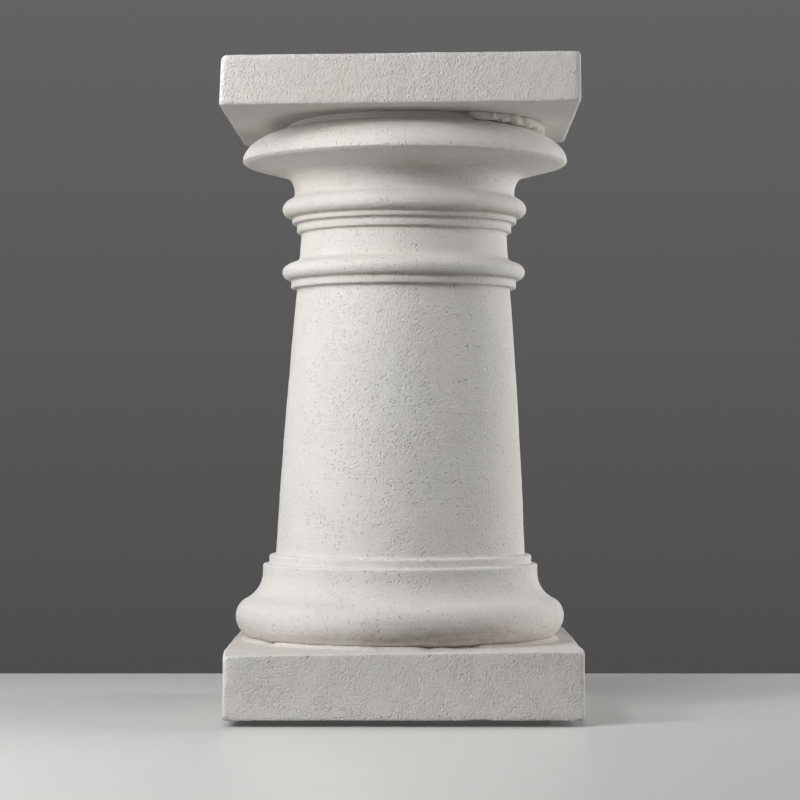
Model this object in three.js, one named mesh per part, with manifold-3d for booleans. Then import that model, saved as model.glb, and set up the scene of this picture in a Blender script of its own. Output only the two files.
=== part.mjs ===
// A small Doric column of the plain Tuscan kind, in white plaster: a square plinth slab, one turned column that
// holds the base, shaft, neck and capital mouldings, and a square abacus slab. The two slabs were made apart
// from the turned piece and bedded by hand, so it stands a little off the middle and leans, and the abacus lies
// a little turned and tilted.
// Millimetres, +Z up, -Y is the front. The origin is the middle of the plinth's underside.

import * as THREE from 'three';
import Module from 'manifold-3d';
import { RoundedBoxGeometry } from 'three/addons/geometries/RoundedBoxGeometry.js';
import { mergeVertices } from 'three/addons/utils/BufferGeometryUtils.js';

// Slabs
const footHeight = 4.5; // low foot under the plinth, set in so that the slab casts a dark gap
const footInset = 22;
const plinthHeight = 46.4; // without the foot
const plinthLedge = 4.2; // top of the plinth that shows beside the torus
const plinthArris = 3.2; // rounding of the plinth's edges
const abacusHeight = 34.2;
const abacusOverhang = 4.8; // abacus beyond the capital's widest ring
const abacusArris = 2.8;
const bedJoint = 0.3; // open joint between the turned column and each slab

// Shaft, a slightly swelling cone
const shaftFootRadius = 89.3;
const shaftHeadRadius = 76.5;
const shaftHeight = 190.3;
const shaftSwell = 0.9; // how far the middle stands outside a straight cone

// Base: the upper and lower bands under the shaft, then a cove that sweeps out to the torus
const upperBandStep = 4.7;
const upperBandHeight = 6.4;
const lowerBandStep = 4.5;
const lowerBandHeight = 6.5;
const bandArris = 2;
const coveRound = 20.7;
const torusSweep = 19.2; // torus beyond the lower band
const torusUpperRound = 13.4;
const torusLowerRound = 16.8;

// Ring at the shaft's head: a fillet, then a bead
const shaftFilletStep = 4.4;
const shaftFilletHeight = 5.9;
const shaftBeadStep = 6.3; // bead beyond its fillet
const shaftBeadBelow = 6.1; // height of the bead under its widest line
const shaftBeadAbove = 7.2;

// Neck, set back a little from the shaft's head
const neckSetback = 1.5;
const neckTaper = 1.2;
const neckHeight = 20.8;

// Ring under the capital: two fillets, then a bead
const lowerFilletStep = 3.4;
const lowerFilletHeight = 6.4;
const upperFilletStep = 3.5;
const upperFilletHeight = 4.3;
const filletArris = 1.2;
const capitalBeadStep = 7;
const capitalBeadBelow = 6.2;
const capitalBeadAbove = 7.5;

// Capital: a cavetto flares to the sloping soffit of the echinus, which ends in a thin nose
const cavettoStep = 5.3; // cavetto's foot beyond the neck's head
const cavettoUpright = 4.2; // straight part over the bead
const cavettoFlare = 7.9;
const cavettoHeight = 13.3;
const soffitWidth = 26.6;
const soffitRise = 5.8;
const noseStep = 3;
const noseRise = 3.1;
const echinusDepth = 54.5; // half width of the oval that the echinus follows
const echinusHeight = 25.2; // half height of that oval
const echinusArc = 65; // degrees of it, from the nose to the bed of the abacus

// How the pieces were set by hand. Angles are in degrees.
const columnOffset = -2.9; // foot of the turned column, to the left of the plinth's middle
const columnLean = 0.66; // towards +X
const abacusOffset = -1.1; // from the middle of the turned column's head
const abacusTurn = -0.8; // seen from above
const abacusTilt = 0.55; // right side up
const bedThinnest = 3.7; // bed of plaster under the abacus, where it is thinnest

// Fineness of the facets
const turnedFacets = 48;
const arrisFacets = 2;
const roundFacets = 5;
const shaftFacets = 6;

// Radii that follow from the shaft's foot and head
const upperBandRadius = shaftFootRadius + upperBandStep;
const lowerBandRadius = upperBandRadius + lowerBandStep;
const torusRadius = lowerBandRadius + torusSweep;
const shaftFilletRadius = shaftHeadRadius + shaftFilletStep;
const shaftBeadRadius = shaftFilletRadius + shaftBeadStep;
const neckFootRadius = shaftHeadRadius - neckSetback;
const neckHeadRadius = neckFootRadius - neckTaper;
const lowerFilletRadius = neckHeadRadius + lowerFilletStep;
const upperFilletRadius = lowerFilletRadius + upperFilletStep;
const capitalBeadRadius = upperFilletRadius + capitalBeadStep;
const cavettoRadius = neckHeadRadius + cavettoStep;
const soffitInnerRadius = cavettoRadius + cavettoFlare;
const soffitOuterRadius = soffitInnerRadius + soffitWidth;
const noseRadius = soffitOuterRadius + noseStep;

const slopeOf = (degrees) => Math.tan(THREE.MathUtils.degToRad(degrees));
const point = (radius, height) => new THREE.Vector2(radius, height);

// Points on an oval arc, with angles in degrees: 0 faces outwards and 90 faces up.
function arc(centreRadius, centreHeight, halfWidth, halfHeight, from, to, facets) {
  const points = [];
  for (let i = 0; i <= facets; i++) {
    const angle = THREE.MathUtils.degToRad(THREE.MathUtils.lerp(from, to, i / facets));
    points.push(point(centreRadius + halfWidth * Math.cos(angle), centreHeight + halfHeight * Math.sin(angle)));
  }
  return points;
}

// An upright band with its upper edge rounded.
function band(radius, foot, height) {
  const top = foot + height;
  const round = Math.min(bandArris, height / 2);
  return [point(radius, foot), ...arc(radius - round, top - round, round, round, 0, 90, arrisFacets)];
}

// An upright fillet with its lower edge rounded.
function fillet(radius, foot, height) {
  const round = Math.min(filletArris, height / 2);
  return [...arc(radius - round, foot + round, round, round, -90, 0, arrisFacets), point(radius, foot + height)];
}

// A half-round bead, from the fillet under it to the upright face over it.
function bead(radius, widestLine, radiusUnder, below, radiusOver, above) {
  return [
    ...arc(radiusUnder, widestLine, radius - radiusUnder, below, -75, 0, roundFacets - 1),
    ...arc(radiusOver, widestLine, radius - radiusOver, above, 0, 90, roundFacets).slice(1),
  ];
}

// The torus and the cove over it: arcs that meet where both lean by the same angle.
function torusAndCove() {
  const rounds = torusUpperRound + coveRound;
  const meeting = THREE.MathUtils.radToDeg(Math.acos(1 - torusSweep / rounds));
  const widestLine = torusLowerRound;
  const coveTop = widestLine + rounds * Math.sin(THREE.MathUtils.degToRad(meeting));
  const lowerCentre = torusRadius - torusLowerRound;
  const upperCentre = torusRadius - torusUpperRound;
  return [
    ...arc(lowerCentre, widestLine, torusLowerRound, torusLowerRound, -90, 0, roundFacets + 1),
    ...arc(upperCentre, widestLine, torusUpperRound, torusUpperRound, 0, meeting, roundFacets).slice(1),
    ...arc(lowerBandRadius + coveRound, coveTop, coveRound, coveRound, 180 + meeting, 180, roundFacets).slice(1),
  ];
}

function shaft(foot) {
  const points = [];
  for (let i = 0; i <= shaftFacets; i++) {
    const up = i / shaftFacets;
    const straight = THREE.MathUtils.lerp(shaftFootRadius, shaftHeadRadius, up);
    points.push(point(straight + 4 * shaftSwell * up * (1 - up), foot + shaftHeight * up));
  }
  return points;
}

// The fillet and bead that end the shaft, and the neck over them.
function shaftRingAndNeck(foot) {
  const widestLine = foot + shaftFilletHeight + shaftBeadBelow;
  return [
    ...fillet(shaftFilletRadius, foot, shaftFilletHeight),
    ...bead(shaftBeadRadius, widestLine, shaftFilletRadius, shaftBeadBelow, neckFootRadius, shaftBeadAbove),
    point(neckHeadRadius, widestLine + shaftBeadAbove + neckHeight),
  ];
}

// The two fillets and the bead under the cavetto.
function capitalRing(foot) {
  const upperFoot = foot + lowerFilletHeight;
  const widestLine = upperFoot + upperFilletHeight + capitalBeadBelow;
  return [
    ...fillet(lowerFilletRadius, foot, lowerFilletHeight),
    ...fillet(upperFilletRadius, upperFoot, upperFilletHeight),
    ...bead(capitalBeadRadius, widestLine, upperFilletRadius, capitalBeadBelow, cavettoRadius, capitalBeadAbove),
  ];
}

// Cavetto, soffit, nose and echinus, up to the bed of the abacus.
function capital(foot) {
  const cavettoFoot = foot + cavettoUpright;
  const soffitFoot = cavettoFoot + cavettoHeight;
  const noseLine = soffitFoot + soffitRise + noseRise;
  const echinusCentre = noseRadius - echinusDepth;
  return [
    ...arc(soffitInnerRadius, cavettoFoot, cavettoFlare, cavettoHeight, 180, 100, roundFacets),
    point(soffitInnerRadius, soffitFoot),
    point(soffitOuterRadius, soffitFoot + soffitRise),
    ...arc(echinusCentre, noseLine, echinusDepth, echinusHeight, 0, echinusArc, roundFacets + 2),
  ];
}

// The turned column's half section, from its underside on the axis to its top on the axis.
function turnedSection() {
  const section = [point(0, 0), ...torusAndCove()];
  const height = () => section[section.length - 1].y;
  section.push(...band(lowerBandRadius, height(), lowerBandHeight).slice(1));
  section.push(...band(upperBandRadius, height(), upperBandHeight));
  section.push(...shaft(height()));
  section.push(...shaftRingAndNeck(height()));
  section.push(...capitalRing(height()));
  section.push(...capital(height()));
  return section;
}

const wasm = await Module();
wasm.setup();

function toSolid(geometry) {
  const bare = geometry.clone();
  bare.deleteAttribute('normal');
  bare.deleteAttribute('uv');
  const merged = mergeVertices(bare);
  const vertProperties = merged.attributes.position.array;
  return new wasm.Manifold(new wasm.Mesh({ numProp: 3, vertProperties, triVerts: new Uint32Array(merged.index.array) }));
}

function toGeometry(solid) {
  const mesh = solid.getMesh();
  const geometry = new THREE.BufferGeometry();
  geometry.setAttribute('position', new THREE.BufferAttribute(mesh.vertProperties, 3));
  geometry.setIndex(new THREE.BufferAttribute(mesh.triVerts, 1));
  geometry.computeVertexNormals();
  return geometry;
}

function plaster(name, geometry) {
  const material = new THREE.MeshStandardMaterial({ color: 0xe6e2da, roughness: 0.85, metalness: 0 });
  const mesh = new THREE.Mesh(geometry, material);
  mesh.name = name;
  return mesh;
}

// A square slab with rounded edges that stands on its own origin.
function slab(side, height, arris) {
  const geometry = new RoundedBoxGeometry(side, side, height, arrisFacets, Math.min(arris, height / 3));
  return geometry.translate(0, 0, height / 2);
}

// The plinth slab and, in one with it, the low foot that it stands on.
function plinthGeometry() {
  const side = 2 * (torusRadius + plinthLedge);
  const footSide = side - 2 * footInset;
  const footReach = footHeight + plinthHeight / 2; // the foot runs up into the slab
  const foot = new THREE.BoxGeometry(footSide, footSide, footReach).translate(0, 0, footReach / 2);
  const block = slab(side, plinthHeight, plinthArris).translate(0, 0, footHeight);
  return toGeometry(toSolid(block).add(toSolid(foot)));
}

const section = turnedSection();
const seat = section[section.length - 1]; // where the echinus meets the bed
const leanSlope = slopeOf(columnLean);
const tiltSlope = slopeOf(abacusTilt);
const bedTop = seat.y + bedThinnest + seat.x * Math.abs(tiltSlope);
section.push(point(seat.x, bedTop), point(0, bedTop));

// The lean slides each ring sideways with its height, so the foot stays level. The bed's top slopes with the
// abacus that lies on it.
function turnedGeometry() {
  const geometry = new THREE.LatheGeometry(section, turnedFacets);
  geometry.rotateX(Math.PI / 2);
  const corners = geometry.attributes.position;
  for (let i = 0; i < corners.count; i++) {
    const x = corners.getX(i);
    const z = corners.getZ(i);
    const onBed = z > (seat.y + bedTop) / 2;
    corners.setX(i, x + z * leanSlope);
    corners.setZ(i, onBed ? z + x * tiltSlope : z);
  }
  return geometry;
}

const doricColumn = new THREE.Group();

const plinth = plaster('plinth', plinthGeometry());
doricColumn.add(plinth);

const column = plaster('column', turnedGeometry());
column.position.set(columnOffset, 0, footHeight + plinthHeight + bedJoint);
doricColumn.add(column);

// The abacus is turned on its bed and then tilted with it, about the middle of the column's head.
const head = new THREE.Group();
head.position.set(columnOffset + bedTop * leanSlope, 0, column.position.z + bedTop + bedJoint);
head.rotation.y = -THREE.MathUtils.degToRad(abacusTilt);
doricColumn.add(head);

const abacus = plaster('abacus', slab(2 * (noseRadius + abacusOverhang), abacusHeight, abacusArris));
abacus.position.x = abacusOffset;
abacus.rotation.z = THREE.MathUtils.degToRad(abacusTurn);
head.add(abacus);

export default doricColumn;
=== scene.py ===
import bpy
import bmesh
import math
import random
import re
from mathutils import Matrix, Vector, noise


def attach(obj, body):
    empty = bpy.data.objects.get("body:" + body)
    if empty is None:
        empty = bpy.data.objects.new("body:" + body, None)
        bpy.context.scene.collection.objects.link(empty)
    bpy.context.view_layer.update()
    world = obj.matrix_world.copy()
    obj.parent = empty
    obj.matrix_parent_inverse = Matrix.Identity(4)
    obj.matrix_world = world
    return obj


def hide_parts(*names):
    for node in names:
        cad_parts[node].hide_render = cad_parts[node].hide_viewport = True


# Plaster column: plinth slab, turned column, abacus slab. Sizes in the dictionaries are millimetres and degrees,
# the meshes are metres. Each piece replaces the plain solid of the same name.

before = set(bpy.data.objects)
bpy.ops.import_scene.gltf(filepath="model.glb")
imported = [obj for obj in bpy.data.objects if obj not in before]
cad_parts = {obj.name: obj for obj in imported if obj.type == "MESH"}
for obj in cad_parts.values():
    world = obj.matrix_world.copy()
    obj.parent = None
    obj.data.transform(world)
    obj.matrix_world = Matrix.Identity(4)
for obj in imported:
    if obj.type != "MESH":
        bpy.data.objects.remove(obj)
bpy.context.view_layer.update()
mm = 0.001
noise.seed_set(7)  # the same lumps each run


# ---------- node helpers

class Nodes:  # short calls that build a geometry or shader tree
    def __init__(self, tree):
        self.tree = tree

    def plug(self, socket, value):
        if isinstance(value, bpy.types.NodeSocket):
            self.tree.links.new(value, socket)
        else:
            socket.default_value = value

    def add(self, kind, wires=None, **settings):
        node = self.tree.nodes.new(kind)
        for name, value in settings.items():
            setattr(node, name, value)
        for name, value in (wires or {}).items():
            self.plug(node.inputs[name], value)
        return node

    def math(self, operation, *values):
        node = self.add("ShaderNodeMath", operation=operation)
        for socket, value in zip(node.inputs, values):
            self.plug(socket, value)
        return node.outputs[0]

    def times(self, first, *others):
        for other in others:
            first = self.math("MULTIPLY", first, other)
        return first

    def plus(self, first, second):
        return self.math("ADD", first, second)

    def minus(self, first, second):
        return self.math("SUBTRACT", first, second)

    def vector(self, operation, *values):
        node = self.add("ShaderNodeVectorMath", operation=operation)
        for socket, value in zip(node.inputs, values):
            self.plug(socket, value)
        return node.outputs["Value" if operation in ("LENGTH", "DISTANCE") else "Vector"]

    def scaled(self, vector, factor):
        return self.add("ShaderNodeVectorMath", {"Vector": vector, "Scale": factor}, operation="SCALE").outputs[0]

    def combine(self, x, y, z):
        return self.add("ShaderNodeCombineXYZ", {"X": x, "Y": y, "Z": z}).outputs[0]

    def split(self, vector):
        return self.add("ShaderNodeSeparateXYZ", {"Vector": vector}).outputs

    def ramp(self, value, low, high, toLow=0.0, toHigh=1.0, smooth=True):
        wires = {"Value": value, "From Min": low, "From Max": high, "To Min": toLow, "To Max": toHigh}
        blend = "SMOOTHSTEP" if smooth else "LINEAR"
        return self.add("ShaderNodeMapRange", wires, interpolation_type=blend).outputs[0]

    def noise(self, place, perMetre, detail=2.0, shift=0.0, roughness=0.5):  # 0 to 1, mostly near 0.5
        moved = self.vector("ADD", place, (shift, shift * 0.7, shift * 1.3))
        wires = {"Vector": moved, "Scale": perMetre, "Detail": detail, "Roughness": roughness}
        return self.add("ShaderNodeTexNoise", wires).outputs["Fac"]

    def spot(self):
        return self.add("GeometryNodeInputPosition").outputs[0]

    def mark(self, label):  # a mark on a mesh, read by a geometry tree
        return self.add("GeometryNodeInputNamedAttribute", {"Name": label}, data_type="FLOAT").outputs[0]

    def store(self, geometry, label, value):
        wires = {"Geometry": geometry, "Name": label, "Value": value}
        return self.add("GeometryNodeStoreNamedAttribute", wires, data_type="FLOAT").outputs[0]

    def move(self, geometry, way, value):
        return self.add("GeometryNodeSetPosition", {"Geometry": geometry, way: value}).outputs[0]


def newTree(name, inputs):
    tree = bpy.data.node_groups.new(name, "GeometryNodeTree")
    tree.interface.new_socket("Geometry", in_out="INPUT", socket_type="NodeSocketGeometry")
    for label, (kind, value) in {**inputs, "Material": ("Material", None)}.items():
        socket = tree.interface.new_socket(label, in_out="INPUT", socket_type="NodeSocket" + kind)
        if value is not None:
            socket.default_value = value
    tree.interface.new_socket("Geometry", in_out="OUTPUT", socket_type="NodeSocketGeometry")
    nodes = Nodes(tree)
    return nodes, nodes.add("NodeGroupInput").outputs


def endTree(nodes, geometry):  # the last nodes of every tree
    material = nodes.add("NodeGroupInput").outputs["Material"]
    real = nodes.add("GeometryNodeRealizeInstances", {"Geometry": geometry})
    painted = nodes.add("GeometryNodeSetMaterial", {"Geometry": real.outputs[0], "Material": material})
    out = nodes.add("NodeGroupOutput")
    nodes.plug(out.inputs[0], painted.outputs[0])
    return nodes.tree


def lengths(settings, *keys):  # as inputs of a tree in metres, lowerArris as "Lower arris"
    labels = [re.sub("[A-Z]", lambda found: " " + found[0].lower(), key).capitalize() for key in keys]
    return {label: settings[key] * mm for label, key in zip(labels, keys)}


def addModifier(piece, tree, material, values):
    modifier = piece.modifiers.new(tree.name, "NODES")
    modifier.node_group = tree
    values = dict(values, Material=material)
    for item in tree.interface.items_tree:
        if item.item_type == "SOCKET" and item.in_out == "INPUT" and item.name in values:
            modifier[item.identifier] = values[item.name]


def linked(name, data):
    thing = bpy.data.objects.new(name, data)
    bpy.context.scene.collection.objects.link(thing)
    return thing


def newObject(name, vertices=(), faces=()):
    mesh = bpy.data.meshes.new(name)
    mesh.from_pydata(list(vertices), [], list(faces))
    return linked(name, mesh)


keepSharp = 35  # degrees between two faces, from which their edge isn't smoothed


def settle(piece, material, place):  # the modifiers' result becomes the piece's plain mesh
    graph = bpy.context.evaluated_depsgraph_get()
    mesh = bpy.data.meshes.new_from_object(piece.evaluated_get(graph))
    piece.modifiers.clear()
    piece.data = mesh
    mesh.transform(place)
    mesh.materials.clear()
    mesh.materials.append(material)
    mesh.polygons.foreach_set("material_index", [0] * len(mesh.polygons))
    mesh.shade_smooth()
    mesh.set_sharp_from_angle(angle=math.radians(keepSharp))
    mesh.update()


def markPoints(thing, label, values):
    thing.data.attributes.new(label, "FLOAT", "POINT").data.foreach_set("value", [float(v) for v in values])


def drop(*things):
    for thing in things:
        bpy.data.objects.remove(thing)


def report(piece):
    piece.data.calc_loop_triangles()
    print(f"{piece.name} ready, {len(piece.data.loop_triangles)} triangles")


# ---------- plaster material

plasterNoises = {  # waves per metre, detail, shift, roughness
    "clouds": (14, 4, 3.1), "stains": (46, 5, 7.7, 0.62), "speckle": (520, 3, 1.9, 0.7), "broken": (160, 5, 5.3, 0.65),
    "runs": (330, 4, 8.8, 0.6), "dirtAndShadeTint": (38, 2, 4.9), "rough": (75, 3, 2.7), "patches": (42, 3, 9.4),
    "grain": (760, 3, 2.2, 0.65), "soft": (150, 3, 4.4), "sheen": (70, 3, 6.1),
}
runStretch = 0.07  # of the level run lines, sideways
# the dirt with painted shade is strongest in an upright band a little right of the column's middle, where the lamps
# leave it darkest
dirtAndShadeBand = {"middle": 0.024, "from": 0.025, "to": 0.075, "most": 1.3, "least": 0.5}  # metres along X, then shares
cellWarp = {"perMetre": 500.0, "pinholes": 0.0011, "dents": 0.0004}  # takes the roundness out of the cells
dents = {"rarest": 0.95, "surest": 1.1, "smallest": 0.3, "largest": 0.52}  # chance of one, and its reach


def plasterMaterial(name, look):
    material = bpy.data.materials.new(name)
    material.use_nodes = True
    material.node_tree.nodes.clear()
    n = Nodes(material.node_tree)
    place = n.add("ShaderNodeTexCoord").outputs["Object"]

    def mark(label):
        return n.add("ShaderNodeAttribute", attribute_name=label).outputs["Fac"]

    def texture(label, source=place):
        return n.noise(source, *plasterNoises[label])

    def mix(amount, low, high):
        node = n.add("ShaderNodeMix", data_type="RGBA")
        for index, value in ((0, amount), (6, low), (7, high)):
            n.plug(node.inputs[index], value)
        return node.outputs[2]

    # colour: cloudy plaster, greyer and yellower patches, then dirt with painted shade under the mouldings and in the
    # grooves, strongest in an upright band where the column is darkest
    colour = mix(n.ramp(texture("clouds"), 0.35, 0.68), look["cool"], look["warm"])
    colour = mix(n.ramp(texture("stains"), 0.52, 0.78, 0, look["stainAmount"]), colour, look["stain"])
    colour = mix(n.ramp(texture("speckle"), 0.32, 0.62, look["speckleAmount"], 0), colour, look["speckle"])
    broken = n.ramp(texture("broken"), 0.3, 0.7, 0.5, 1)
    runs = texture("runs", n.vector("MULTIPLY", place, (runStretch, runStretch, 1)))  # level lines, as turned work has
    smeared = n.times(broken, n.ramp(runs, 0.32, 0.62, 0.55, 1))
    # painted shade: the dirt grows stronger in an upright band near the middle, where the column is darkest between the
    # lamps
    aside = n.math("ABSOLUTE", n.minus(n.split(place)["X"], dirtAndShadeBand["middle"]))
    side = n.ramp(aside, dirtAndShadeBand["from"], dirtAndShadeBand["to"], dirtAndShadeBand["most"], dirtAndShadeBand["least"])
    dirtAndShadeTint = mix(n.ramp(texture("dirtAndShadeTint"), 0.4, 0.62), look["grime"], look["greenishDirtAndShade"])
    # brown dirt with painted shade, set by height on the column's section: under the torus and the rings, in the
    # cavetto and in the crevice under the abacus
    colour = mix(n.times(mark("grime"), smeared, look["grimeAndShadeAmount"], side), colour, dirtAndShadeTint)
    # dark brown dirt with painted shade in the concave corners: under the rings, at the foot joint and in the bed under
    # the abacus
    colour = mix(n.times(mark("groove"), broken, look["grooveDirtAndShadeAmount"]), colour, look["groove"])
    colour = mix(n.times(mark("arris"), broken, look["wornAmount"]), colour, look["worn"])
    colour = mix(n.times(mark("squeezed"), 0.7), colour, look["squeezed"])

    # finest pinholes, too small for the mesh: dented into the relief, and darkened in the colour as painted shade
    bent = n.add("ShaderNodeTexNoise", {"Vector": place, "Scale": cellWarp["perMetre"]}).outputs["Color"]
    warped = n.vector("ADD", place, n.scaled(bent, cellWarp["pinholes"]))
    cells = n.add("ShaderNodeTexVoronoi", {"Vector": warped, "Scale": look["pinholesPerMetre"]})
    chance = n.split(cells.outputs["Color"])[0]
    rough = n.ramp(n.vector("DISTANCE", place, look["roughPlace"]), look["roughReach"], look["roughReach"] * 0.3)
    rough = n.times(rough, n.ramp(texture("rough"), 0.3, 0.55, 0.35, 1))
    patchy = n.math("MAXIMUM", n.ramp(texture("patches"), 0.38, 0.62, 0.1, 0.6), rough)
    reach = n.times(n.ramp(chance, 0.35, 1, 0, look["pinholeReach"]), patchy)
    near = n.math("DIVIDE", cells.outputs["Distance"], n.math("MAXIMUM", reach, 0.001))
    pinholes = n.minus(1.0, n.ramp(near, 0.3, 1))
    # painted shade in the pinholes: their colour darkens towards the dark brown of the creases
    colour = mix(n.times(pinholes, look["pinholeShade"]), colour, look["groove"])

    # relief: sandy grain, dents, level run lines, soft trowelled unevenness and the pinholes
    grain = n.times(texture("grain"), n.math("MULTIPLY_ADD", mark("squeezed"), 2.5, n.ramp(patchy, 0, 1, 0.6, 1)))
    warped = n.vector("ADD", place, n.scaled(bent, cellWarp["dents"]))
    hollows = n.add("ShaderNodeTexVoronoi", {"Vector": warped, "Scale": look["dentsPerMetre"]})
    often = n.split(hollows.outputs["Color"])[1]
    present = n.ramp(n.plus(often, patchy), dents["rarest"], dents["surest"])
    reach = n.ramp(often, 0.3, 1, dents["smallest"], dents["largest"])
    within = n.math("DIVIDE", hollows.outputs["Distance"], reach)
    dented = n.times(n.ramp(within, 1, 0), present, n.math("MULTIPLY_ADD", often, -0.6, -0.4))
    relief = n.plus(n.times(grain, look["grainDepth"]), n.times(texture("soft"), look["softDepth"]))
    relief = n.math("MULTIPLY_ADD", dented, look["dentDepth"], relief)
    relief = n.math("MULTIPLY_ADD", runs, look["runDepth"], relief)
    relief = n.minus(relief, n.times(pinholes, look["pinholeDepth"]))
    bump = n.add("ShaderNodeBump", {"Height": relief, "Distance": mm, "Strength": 1.0})

    shader = n.add("ShaderNodeBsdfPrincipled", {
        "Base Color": colour, "Roughness": n.ramp(texture("sheen"), 0.3, 0.7, *look["roughness"]),
        "Normal": bump.outputs[0], "Specular IOR Level": look["specular"]})
    out = n.add("ShaderNodeOutputMaterial")
    n.plug(out.inputs[0], shader.outputs[0])
    return material


# ---------- geometry trees

def turnTree():  # turns a section round the Z axis and carries its marks along
    n, ins = newTree("turn a section", {
        "Section": ("Object", None), "Rows": ("Int", 200), "Turns": ("Int", 200)})
    section = n.add("GeometryNodeObjectInfo", {"Object": ins["Section"]}).outputs["Geometry"]
    around = n.plus(ins["Turns"], 1)
    grid = n.add("GeometryNodeMeshGrid", {"Size X": 1, "Size Y": 1, "Vertices X": around, "Vertices Y": ins["Rows"]})
    x, y, _ = n.split(n.spot())
    angle = n.times(n.plus(x, 0.5), math.tau)
    row = n.math("MULTIPLY_ADD", n.plus(y, 0.5), n.minus(ins["Rows"], 1), 0.5)

    def sample(kind, value):
        wires = {"Geometry": section, "Value": value, "Index": row}
        return n.add("GeometryNodeSampleIndex", wires, data_type=kind).outputs[0]

    geometry = grid.outputs["Mesh"]
    for label in ("free", "arris", "groove", "grime"):
        geometry = n.store(geometry, label, sample("FLOAT", n.mark(label)))
    radius, _, height = n.split(sample("FLOAT_VECTOR", n.spot()))
    turned = n.combine(n.times(radius, n.math("COSINE", angle)), n.times(radius, n.math("SINE", angle)), height)
    geometry = n.move(geometry, "Position", turned)
    geometry = n.add("GeometryNodeMergeByDistance", {"Geometry": geometry, "Distance": 0.00001}).outputs[0]
    return endTree(n, geometry)


def slabTree():  # a block with soft arrises that aren't the same all round
    n, ins = newTree("slab", {
        "Side": ("Float", 0.24), "Height": ("Float", 0.04),
        "Lower arris": ("Float", 0.002), "Upper arris": ("Float", 0.003), "Left arris": ("Float", 0.0),
        "Corner arris": ("Float", 0.0), "Top corners": ("Float", 0.0), "Left skew": ("Float", 0.0),
        "Front drop": ("Float", 0.0), "Left drop": ("Float", 0.0), "Drop reach": ("Float", 0.016),
        "Unlike": ("Float", 0.3), "Seed": ("Float", 0.0),
        "Across": ("Int", 90), "Up": ("Int", 22)})
    halfSide = n.times(ins["Side"], 0.5)
    halfHeight = n.times(ins["Height"], 0.5)
    geometry = n.add("GeometryNodeMeshCube", {
        "Size": (2, 2, 2), "Vertices X": ins["Across"], "Vertices Y": ins["Across"],
        "Vertices Z": ins["Up"]}).outputs["Mesh"]
    even = n.split(n.spot())

    def crowded(value):  # vertices draw together towards the arrises
        return n.times(value, n.plus(n.times(value, value, -0.35), 1.35))

    x, y = (n.times(crowded(value), halfSide) for value in (even["X"], even["Y"]))
    z = n.times(crowded(even["Z"]), halfHeight)
    spot = n.combine(x, y, z)
    up = n.ramp(even["Z"], -0.4, 0.6)
    left = n.times(n.ramp(even["X"], 0.9, -1.0), n.ramp(even["Y"], 0.2, -0.8))
    ends = n.times(*(n.ramp(n.math("ABSOLUTE", even[axis]), 0.85, 1.0) for axis in "XY"))
    arris = n.math("MULTIPLY_ADD", up, n.minus(ins["Upper arris"], ins["Lower arris"]), ins["Lower arris"])
    for share, extra in ((n.times(up, left), "Left arris"), (n.times(ends, n.minus(1, up)), "Corner arris"),
                         (n.times(ends, up), "Top corners")):
        arris = n.math("MULTIPLY_ADD", share, ins[extra], arris)
    seeded = n.vector("ADD", spot, n.combine(ins["Seed"], 0, 0))
    unlike = n.times(n.minus(n.noise(seeded, 32, 2), 0.5), n.times(ins["Unlike"], 4))
    arris = n.times(arris, n.math("MAXIMUM", n.plus(unlike, 1), 0.3))

    def kept(value, half):  # the part of the block inside the rounding
        reach = n.minus(half, arris)
        return n.math("MAXIMUM", n.math("MINIMUM", value, reach), n.times(reach, -1))

    core = n.combine(kept(x, halfSide), kept(y, halfSide), kept(z, halfHeight))
    outwards = n.vector("SUBTRACT", spot, core)
    rounded = n.vector("ADD", core, n.scaled(n.vector("NORMALIZE", outwards), arris))
    # the top falls towards the front, most at the left, and the left side leans
    drop = n.math("MULTIPLY_ADD", n.ramp(even["X"], 0.75, -1.0), ins["Left drop"], ins["Front drop"])
    atFront = n.ramp(n.plus(y, halfSide), ins["Drop reach"], 0, smooth=False)
    fall = n.times(drop, atFront, n.ramp(even["Z"], -0.2, 1.0, smooth=False))
    low = n.ramp(even["Z"], -1, 1, -1, 0, smooth=False)
    skew = n.times(n.ramp(even["X"], -0.1, -1.0), low, ins["Left skew"])
    rounded = n.vector("ADD", rounded, n.combine(skew, 0, n.times(fall, -1)))
    share = n.math("DIVIDE", n.vector("LENGTH", outwards), arris)
    for label, value in (("free", 1.0), ("arris", n.ramp(share, 1.0, 1.25)), ("groove", 0.0), ("grime", 0.0)):
        geometry = n.store(geometry, label, value)
    return endTree(n, n.move(geometry, "Position", rounded))


handNoises = {  # waves per metre, detail, shift, and how far the waves are drawn out sideways
    "Lumps": (26, 2, 1.0, 1), "Ripples": (150, 3, 2.0, 1), "Run lines": (420, 2, 3.0, 0.02),
    "Trowelled": (105, 2, 5.0, 0.16),
}


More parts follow.
